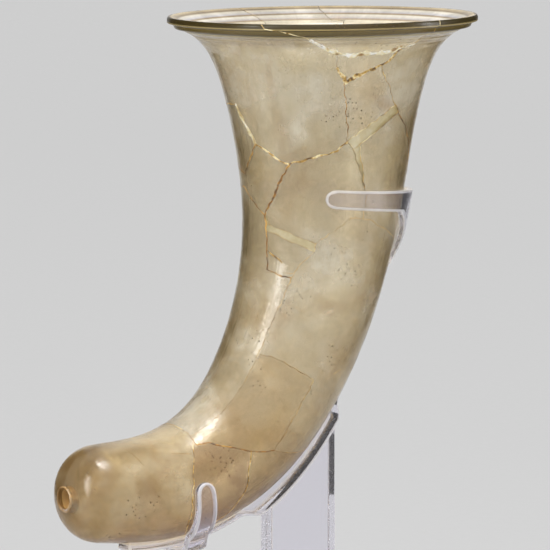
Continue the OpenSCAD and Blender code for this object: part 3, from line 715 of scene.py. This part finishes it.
class Shop:
    """The node tree of a material, or of the world."""

    def __init__(self, name, world=None):
        self.material = world or bpy.data.materials.new(name)
        self.material.use_nodes = True
        self.tree = self.material.node_tree
        self.tree.nodes.clear()

    def make(self, kind, settings=None, inputs=None, output=0):
        node = self.tree.nodes.new("ShaderNode" + kind)
        for key, value in (settings or {}).items():
            if key == "stops":
                ramp = node.color_ramp.elements
                while len(ramp) < len(value):
                    ramp.new(0.5)
                for stop, (place, colour) in zip(ramp, value):
                    stop.position, stop.color = place, rgba(*colour)
            else:
                setattr(node, key, value)
        for key, value in (inputs or {}).items():
            if isinstance(value, Out):
                self.tree.links.new(value.socket, node.inputs[key])
            else:
                node.inputs[key].default_value = value
        return Out(self, node.outputs[output])

    def body(self):
        """Places on the piece, in metres."""
        return self.make("TexCoord", output="Object")

    def surface(self, sockets):
        return self.make("BsdfPrincipled", {}, sockets)

    def either(self, share, a, b):
        return self.make("MixShader", {}, {"Fac": share, 1: a, 2: b})

    def window(self, colour=(1, 1, 1, 1)):
        return self.make("BsdfTransparent", {}, {"Color": colour})

    def noise(self, place, scale, detail=3.0, roughness=0.55, distortion=0.0):
        return self.make("TexNoise", {}, {"Vector": place, "Scale": scale, "Detail": detail,
                                          "Roughness": roughness, "Distortion": distortion})

    def stretch(self, place, scale):
        return self.make("Mapping", {}, {"Vector": place, "Scale": scale})

    def band(self, value, low, high):
        """0 below low, 1 above high, smooth between."""
        return self.make("MapRange", {"interpolation_type": "SMOOTHSTEP"},
                         {"Value": value, "From Min": low, "From Max": high})

    def mix(self, share, a, b):
        return self.make("Mix", {"data_type": "RGBA"}, {0: share, 6: a, 7: b}, output=2)

    def ramp(self, value, *stops):
        return self.make("ValToRGB", {"stops": stops}, {"Fac": value})

    def bump(self, height, strength, distance):
        return self.make("Bump", {}, {"Height": height, "Strength": strength, "Distance": distance})

    def lets_light_by(self, shader, share, colour):
        """Shadow rays pass, tinted, so that light reaches what lies behind."""
        return self.either(self.make("LightPath", output="Is Shadow Ray") * share, shader,
                           self.window(colour))

    def finish(self, shader, volume=None, kind="Material"):
        out = self.tree.nodes.new("ShaderNodeOutput" + kind)
        self.tree.links.new(shader.socket, out.inputs["Surface"])
        if volume:
            self.tree.links.new(volume.socket, out.inputs["Volume"])
        return self.material


def rgba(*colour):
    """A colour as seen, 0 to 255, turned linear for a shader."""
    return (*(c / 255 / 12.92 if c <= 10 else ((c / 255 + 0.055) / 1.055) ** 2.4 for c in colour), 1)


# %% [markdown]
# The glass was blown in a honey colour and lay in the ground for a long time. Burial left a
# hazy, pale film in patches, brown stains, fine streaks drawn along the horn and small pits.
# The material mixes two shaders: clear tinted glass, and the film that scatters the light.
# The adhesive in a break bends light as the glass does, so a filled break hardly shows from the
# side: the marked faces there are a window with a trace of gold. The drilled hole is ground.
# Two ramps along the horn paint light and shade: dark olive painted shade on the lip and under its
# turned steps with pale painted highlights beside them, and painted shade, highlight and reflection
# at the rings inside the mouth.

# %% Weathered glass
RINGS_MM = 9.5
PITTED_V, PITTED_S = (279, 15), (239, 8)


def weathered_glass(name, absorbs, density, film, warm, pale, stain, cover=0.14, stains=0.5):
    shop = Shop(name)
    film, warm, pale, stain = (rgba(*tone) for tone in (film, warm, pale, stain))
    body = shop.body()
    horn = shop.make("UVMap", {"uv_map": "horn"})
    turns, along = (shop.make("SeparateXYZ", {}, {"Vector": horn}, output=k) for k in (0, 1))
    cloud = shop.noise(body, 15, 5, 0.6, 0.5)
    patch = shop.noise(body, 60, 3, 0.55, 0.3)
    worn = shop.noise(body, 130, 4, 0.65, 0.4)
    grain = shop.noise(body, 420, 4, 0.7)
    streak = shop.noise(shop.stretch(horn, (150, 5, 1)), 1.0, 3, 0.6)
    scratch = shop.noise(shop.stretch(horn, (520, 10, 1)), 1.0, 2, 0.5)
    mist = shop.band(cloud * 0.75 + patch * 0.2 + streak * 0.05, 0.46, 0.62)
    stained = shop.band(shop.noise(shop.stretch(body, (1, 1, 0.8)), 30, 5, 0.65, 0.8), 0.5, 0.68) * stains
    spots = shop.make("TexVoronoi", {"feature": "F1"}, {"Vector": body, "Scale": 520, "Randomness": 1})
    at_end = (turns.math("COMPARE", *(d / 360 for d in PITTED_V))
              * along.math("COMPARE", *(d / HORN_LEN for d in PITTED_S)))
    pit = (1 - shop.band(spots, 0.1, 0.22)) * (shop.band(shop.noise(body, 45, 2), 0.56, 0.66)
                                               + at_end * shop.band(patch, 0.4, 0.5)).clamp()
    lip = shop.make("MapRange", {}, {"Value": along, "From Max": LIP_BANDS_MM / HORN_LEN})
    # painted shade and highlight on the lip: dark olive bands on its upright edge and under both steps, pale
    # painted highlight lines beside the steps
    lip_shade_and_highlight = shop.ramp(lip, (0.0, (58, 50, 22)), (0.26, (70, 58, 26)), (0.31, (168, 152, 104)),
                         (0.35, (150, 128, 74)), (0.385, (50, 36, 12)), (0.46, (116, 100, 54)),
                         (0.69, (90, 76, 38)), (0.75, (34, 26, 10)), (0.82, (160, 144, 98)))
    rim = 1 - shop.band(lip, 0.8, 0.98)
    within = along.math("GREATER_THAN", INNER / 2)
    near_mouth = within * (1 - shop.band(along, INNER + 0.04, INNER + 0.14))
    ring_run = shop.make("MapRange", {}, {"Value": along, "From Min": INNER,
                                          "From Max": INNER + RINGS_MM / HORN_LEN})
    # painted light on the rings inside the mouth: painted shade on one side of each raised ring, a near-white
    # painted highlight on the other, and a cool grey painted reflection between
    ring_shade_and_highlight = shop.ramp(ring_run, (0.0, (214, 190, 140)), (0.09, (120, 92, 44)), (0.14, (244, 236, 216)),
                          (0.24, (206, 204, 210)), (0.3, (150, 118, 62)), (0.35, (250, 244, 228)),
                          (0.46, (196, 194, 200)), (0.53, (140, 106, 52)), (0.58, (246, 236, 210)),
                          (0.75, (196, 180, 146)), (1.0, (220, 212, 194)))
    ringed = within * (1 - shop.band(ring_run, 0.75, 1.0))
    drilled = turns.math("LESS_THAN", BREAK_TURNS / 2 - DRILL_TURNS)
    colour = shop.mix(shop.band(along, 0.35, 0.8), film, warm)
    dirt = (*(0.6 * c for c in stain[:3]), 1)
    for part, tone in ((mist, pale), (stained, stain), (shop.band(grain, 0.58, 0.75) * 0.5, dirt),
                       (near_mouth * 0.7, pale), (ringed * 0.85, ring_shade_and_highlight), (rim, lip_shade_and_highlight),
                       (drilled * 0.6, rgba(172, 128, 70)), (pit, rgba(58, 40, 20))):
        colour = shop.mix(part, colour, tone)
    normal = shop.bump(streak * 0.25 + patch * 0.7 + grain * 0.04 - pit * 0.2, 0.35, 0.0009)
    share = (cover + mist * 0.22 + stained * 0.35 + (patch - 0.5) * 0.3 + (scratch - 0.5) * 0.12
             + (grain - 0.5) * 0.16 + rim * 0.75 + pit * 0.85 + near_mouth * 0.16 + ringed * 0.25
             + drilled * 0.3).clamp()
    scatter = shop.surface({"Base Color": colour, "Roughness": 0.2 + patch * 0.25, "Normal": normal,
                            "Specular IOR Level": 0.5})
    clear = shop.surface({"Base Color": (1, 1, 1, 1), "Roughness": 0.03 + shop.band(worn, 0.46, 0.56) * 0.24,
                          "Normal": normal, "IOR": 1.5, "Transmission Weight": 1.0})
    gold = shop.surface({"Base Color": shop.ramp(grain, (0.4, (120, 88, 40)), (0.6, (214, 182, 110))),
                         "Roughness": 0.3 + patch * 0.3})
    filled_break = shop.either(shop.band(grain, 0.5, 0.7) * 0.3, shop.window(), gold)
    broken = turns.math("LESS_THAN", -BREAK_TURNS / 2) - drilled
    whole = shop.either(broken, shop.either(share, clear, scatter), filled_break)
    depth = shop.make("VolumeAbsorption", {}, {"Color": absorbs, "Density": density})
    return shop.finish(shop.lets_light_by(whole, 0.9, (1, 1, 1, 1)), depth)


HONEY_DEPTH, AMBER_DEPTH = (0.65, 0.52, 0.16, 1), (0.65, 0.50, 0.10, 1)
GLASSES = {
    "honey": weathered_glass("honey_glass", HONEY_DEPTH, 160, (190, 177, 140), (192, 168, 124),
                             (232, 227, 212), (166, 130, 82)),
    "mouth": weathered_glass("mouth_glass", HONEY_DEPTH, 125, (212, 202, 166), (208, 190, 148),
                             (240, 236, 222), (182, 150, 98), cover=0.08, stains=0.3),
    "amber": weathered_glass("amber_glass", AMBER_DEPTH, 215, (186, 158, 108), (184, 148, 92),
                             (230, 216, 184), (148, 104, 56)),
    "brown": weathered_glass("brown_glass", (0.64, 0.46, 0.10, 1), 225, (176, 142, 100), (176, 142, 100),
                             (200, 176, 138), (136, 94, 58), cover=0.2),
}
GLASS_OF = {sherd + "_sherd": glass for glass, sherds in {
    "mouth": "rim_front throat back_upper", "brown": "brown",
    "amber": "lower_centre lower_right back_end bulb"}.items() for sherd in sherds.split()}
print("glass:", [m.name for m in GLASSES.values()])

# %% [markdown]
# Filling resin is pale yellow and slightly cloudy. The adhesives differ in tone from joint to
# joint: some gold, others brown where they aged; the white along the brightest joints and in the
# palest flecks of the gold ones is painted highlight, glints scattered by noise.

# %% Resin and adhesive
def adhesive(name, dark, mid, light, low, high, alpha=1.0, gloss=0.3, scale=420):
    shop = Shop(name)
    body = shop.body()
    grain = shop.noise(body, scale, 4, 0.65, 0.3)
    slow = shop.noise(body, 90, 2)
    colour = shop.ramp(grain * 0.65 + slow * 0.35, (low, dark), ((low + high) / 2, mid), (high, light))
    normal = shop.bump(grain, 0.5, 0.0006)
    return shop.finish(shop.surface({
        "Base Color": colour, "Roughness": gloss + grain * 0.3, "Alpha": alpha, "Normal": normal,
        "Coat Weight": 0.4, "Coat Roughness": 0.15}))


adhesives = {name: adhesive(name, *look) for name, *look in (
    # mostly white: painted highlight over gold; the palest stop of the gold joints below is a painted glint too
    ("bright_adhesive", (150, 108, 44), (236, 222, 174), (255, 253, 244), 0.38, 0.52, 1.0, 0.3, 170),
    ("gold_adhesive", (92, 62, 18), (198, 156, 68), (248, 234, 186), 0.43, 0.57),
    ("brown_adhesive", (66, 42, 16), (142, 94, 34), (222, 174, 84), 0.42, 0.62),
    ("thin_adhesive", (98, 72, 30), (162, 126, 60), (228, 200, 130), 0.42, 0.62))}
filling = adhesive("filling_resin", (196, 178, 124), (214, 200, 152), (228, 218, 182), 0.35, 0.65,
                   alpha=0.45, gloss=0.2)
print("adhesives:", list(adhesives), "and", filling.name)

# %% [markdown]
# Acrylic sheet is as clear as glass, with a faint cool tint; towards grazing angles a white opaque
# surface is mixed in as painted reflection. Its polished edges gather the light of the whole room and
# look white, so the Bevel modifier gives them a second material slot where that light is painted in:
# the white surface takes half of it seen straight on and nearly all at a grazing angle. The screws
# are turned steel, with fine rings from the tool.

# %% Acrylic and steel
def clear_sheet(name, least, most):
    """Mixes in a white opaque surface as painted reflection, its share going from least, seen straight on, to least
    + most at a grazing angle.
    """
    shop = Shop(name)
    body = shop.body()
    wave = shop.noise(body, 35, 2, 0.4)
    scratch = shop.noise(shop.stretch(body, (300, 300, 900)), 1.0, 2, 0.5)
    normal = shop.bump(wave, 0.12, 0.001)
    sheet = shop.surface({"Base Color": rgba(241, 239, 248), "Roughness": 0.01 + scratch * 0.03, "IOR": 1.49,
                          "Normal": normal, "Transmission Weight": 1.0})
    # painted reflection: an opaque near-white surface mixed into the clear sheet
    white_painted_reflection = shop.surface({"Base Color": rgba(240, 240, 246), "Roughness": 0.15 + scratch * 0.2, "Normal": normal})
    turn_away = shop.make("LayerWeight", {}, {"Blend": 0.5, "Normal": normal}, output=1)
    painted_reflection_share = turn_away ** 4 * most + (least + scratch * 0.04)
    return shop.finish(shop.lets_light_by(shop.either(painted_reflection_share, sheet, white_painted_reflection), 1.0, rgba(250, 250, 252)))


def turned_steel():
    shop = Shop("turned_steel")
    body = shop.body()
    rings = shop.noise(shop.stretch(body, (1, 1, 4000)), 1.0, 2)
    return shop.finish(shop.surface({
        "Base Color": rgba(196, 198, 202), "Metallic": 1.0, "Roughness": 0.22 + rings * 0.2,
        "Normal": shop.bump(rings, 0.2, 0.0002)}))


# the edge material paints the edges' light: white over half the bevel faces seen straight on and nearly all of them
# at grazing angles; the sheet itself gets up to 0.3 of painted reflection
acrylic, painted_edge_light = clear_sheet("clear_acrylic", 0.0, 0.3), clear_sheet("polished_edge_painted_light", 0.5, 0.45)
steel = turned_steel()
print("mount:", acrylic.name, painted_edge_light.name, steel.name)

# %% [markdown]
# Every new piece takes the place of its node and rides on that node's body. The beads stand for no
# node, so they only ride. The screws are the frame's own solids, which are right as they are, and
# only get the steel.

# %% Dressing the pieces
def dress(piece, material, body, slot, *nodes):
    piece.data.materials.clear()
    piece.data.materials.append(material)
    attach(piece, body)
    if nodes:
        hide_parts(*nodes)


for name, piece in cup_pieces.items():
    if name.startswith("resin"):
        dress(piece, filling, "cup", "resin", name)
    else:
        glass = GLASSES[GLASS_OF.get(name, "honey")]
        dress(piece, glass, "cup", "brown_glass" if name == "brown_sherd" else "honey_glass", name)
for name, piece in bead_pieces.items():
    dress(piece, adhesives[name], "cup", "resin")
for piece, *nodes in ((claw_rail, "upper_claw", "rail"), (yoke, "lower_claw"), (post, "post"),
                      (base_piece, "base_plate")):
    dress(piece, acrylic, "stand", "acrylic", *nodes)
    piece.data.materials.append(painted_edge_light)
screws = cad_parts["base_screws"]
screws.data.materials.clear()
screws.data.materials.append(steel)
print("dressed", len(cup_pieces) + len(bead_pieces) + 5, "pieces")

# %% [markdown]
# The camera stands where the photograph was taken: a long lens, slightly above the cup. The
# centre of the mouth is at a known pixel, which settles how far the camera sits off to the side.

# %% Camera
AZIMUTH, ELEVATION, DISTANCE = math.radians(-35), math.radians(6.9), 1.6
FOCAL_PX, FRAME_PX = 4000.0, 550
MOUTH_PX = (322.3, 14.75)
back_dir = Vector((math.sin(AZIMUTH) * math.cos(ELEVATION), -math.cos(AZIMUTH) * math.cos(ELEVATION),
                   math.sin(ELEVATION)))
right_dir = Vector((math.cos(AZIMUTH), math.sin(AZIMUTH), 0))
up_dir = back_dir.cross(right_dir)
off_x, off_y = ((px - FRAME_PX / 2) / FOCAL_PX * DISTANCE for px in MOUTH_PX)
eye = back_dir * DISTANCE - right_dir * off_x + up_dir * off_y + Vector(MOUTH / 1000)
camera_data = bpy.data.cameras.new("camera")
camera_data.sensor_width = 36
camera_data.lens = 36 * FOCAL_PX / FRAME_PX
camera_data.clip_end = 50
camera = bpy.data.objects.new("camera", camera_data)
camera.matrix_world = Matrix.Translation(eye) @ Matrix(
    (right_dir, up_dir, back_dir)).transposed().to_4x4()
bpy.context.scene.collection.objects.link(camera)
bpy.context.scene.camera = camera
print("camera at", tuple(round(c, 3) for c in eye))

# %% [markdown]
# The room is plain and grey: a sheet of paper that lies under the base and curves up behind it.
# For rays that come from the camera, also through the glass, most of it shows its own even
# colour, and the rest takes the light and the object's shadow.

# %% Floor and backdrop
FLOOR_Z, SWEEP_NEAR, SWEEP_BEND, SWEEP_R, SWEEP_HIGH, SWEEP_HALF = -0.0006, -3.0, 2.5, 1.5, 5.0, 5.0
OWN_COLOUR = 0.88


def path_share(shop):
    """1 for rays that come straight, mirrored or refracted from the camera."""
    camera_ray, glossy, through = (shop.make("LightPath", output=ray)
                                   for ray in ("Is Camera Ray", "Is Glossy Ray", "Is Transmission Ray"))
    return camera_ray.at_least(glossy).at_least(through)


def backdrop():
    run = [(SWEEP_NEAR, FLOOR_Z), (SWEEP_BEND, FLOOR_Z)]
    run += [(SWEEP_BEND + SWEEP_R * math.sin(a), FLOOR_Z + SWEEP_R - SWEEP_R * math.cos(a))
            for a in np.radians(np.arange(6, 91, 6))]
    run += [(SWEEP_BEND + SWEEP_R, SWEEP_HIGH)]
    points = [(x, y, z) for y, z in run for x in (-SWEEP_HALF, SWEEP_HALF)]
    faces = [(2 * i, 2 * i + 1, 2 * i + 3, 2 * i + 2) for i in range(len(run) - 1)]
    mesh = bpy.data.meshes.new("paper_sweep")
    mesh.from_pydata(points, [], faces)
    mesh.shade_smooth()
    sweep = bpy.data.objects.new("paper_sweep", mesh)
    sweep.rotation_euler = (0, 0, AZIMUTH)
    bpy.context.scene.collection.objects.link(sweep)
    shop = Shop("grey_paper")
    body = shop.body()
    weave = shop.noise(body, 260, 3, 0.6)
    grey = shop.mix(weave, rgba(209, 209, 209), rgba(213, 213, 213))
    matt = shop.surface({"Base Color": grey, "Roughness": 0.9, "Specular IOR Level": 0.1})
    plain = shop.make("Emission", {}, {"Color": grey, "Strength": 1.0})
    mesh.materials.append(shop.finish(shop.either(path_share(shop) * OWN_COLOUR, matt, plain)))


backdrop()
print("floor at", FLOOR_Z)

# %% [markdown]
# The light is even from all around and dimmer at the sides, with three large soft lamps for the
# highlights. Two dark cards stand behind the object on either side, where the camera doesn't see
# them, as photographers put them: they draw the dark edges into glass and acrylic.

# %% Light
WALL_LIGHT, WALL_SEEN, SIDE_DIM = 0.78, 0.645, 0.9


def studio_walls():
    """Even light from above and in front, dimmer towards both sides, plain grey for the camera."""
    shop = Shop("studio_walls", bpy.data.worlds.new("studio_walls"))
    way = shop.make("TexCoord")
    sideways = shop.make("VectorMath", {"operation": "DOT_PRODUCT"},
                         {0: way, 1: tuple(right_dir)}, output=1).math("ABSOLUTE")
    dim = shop.band(sideways, 0.45, 0.75)
    path = shop.make("LightPath")
    strength = (1 - dim * SIDE_DIM) * WALL_LIGHT * (1 - path) + path * WALL_SEEN
    light = shop.make("Background", {}, {"Color": (1, 1, 1, 1), "Strength": strength})
    bpy.context.scene.world = shop.finish(light, kind="World")


studio_walls()
CARD_X, CARD_FROM, CARD_TO, CARD_TOP = 0.3, 0.0, 0.7, 0.5


def dark_cards():
    shop = Shop("dark_card")
    fibre = shop.noise(shop.body(), 300, 2)
    material = shop.finish(shop.surface({
        "Base Color": shop.mix(fibre, rgba(24, 24, 26), rgba(34, 34, 36)), "Roughness": 0.9}))
    for side in (-1, 1):
        mesh = bpy.data.meshes.new("dark_card")
        mesh.from_pydata([(side * CARD_X, y, z) for y, z in ((CARD_FROM, 0), (CARD_TO, 0), (CARD_TO, CARD_TOP),
                                                            (CARD_FROM, CARD_TOP))], [], [(0, 1, 2, 3)])
        mesh.materials.append(material)
        card = bpy.data.objects.new("dark_card", mesh)
        card.rotation_euler = (0, 0, AZIMUTH)
        card.visible_camera = card.visible_shadow = False
        bpy.context.scene.collection.objects.link(card)


dark_cards()


def soft_lamp(name, place, aim, width, height, power):
    data = bpy.data.lights.new(name, "AREA")
    data.shape, data.size, data.size_y, data.energy = "RECTANGLE", width, height, power
    lamp = bpy.data.objects.new(name, data)
    place = Vector(place)
    turn = (Vector(aim) - place).to_track_quat("-Z", "Y").to_matrix().to_4x4()
    lamp.matrix_world = Matrix.Translation(place) @ turn
    bpy.context.scene.collection.objects.link(lamp)


target = Vector((-0.02, 0, 0.15))
LAMPS = {"top_lamp": (0, 0.25, 1.2, 0.6, 0.3, 12), "left_lamp": (-1.0, 0.85, 0.35, 0.34, 0.7, 7),
         "right_lamp": (1.3, 0.1, 0.35, 0.12, 0.7, 5)}
for name, (right, back, up, *look) in LAMPS.items():
    soft_lamp(name, target + right_dir * right + back_dir * back + Vector((0, 0, up)), target, *look)
print("lamps:", list(LAMPS))

bpy.context.scene.view_settings.view_transform = "Standard"
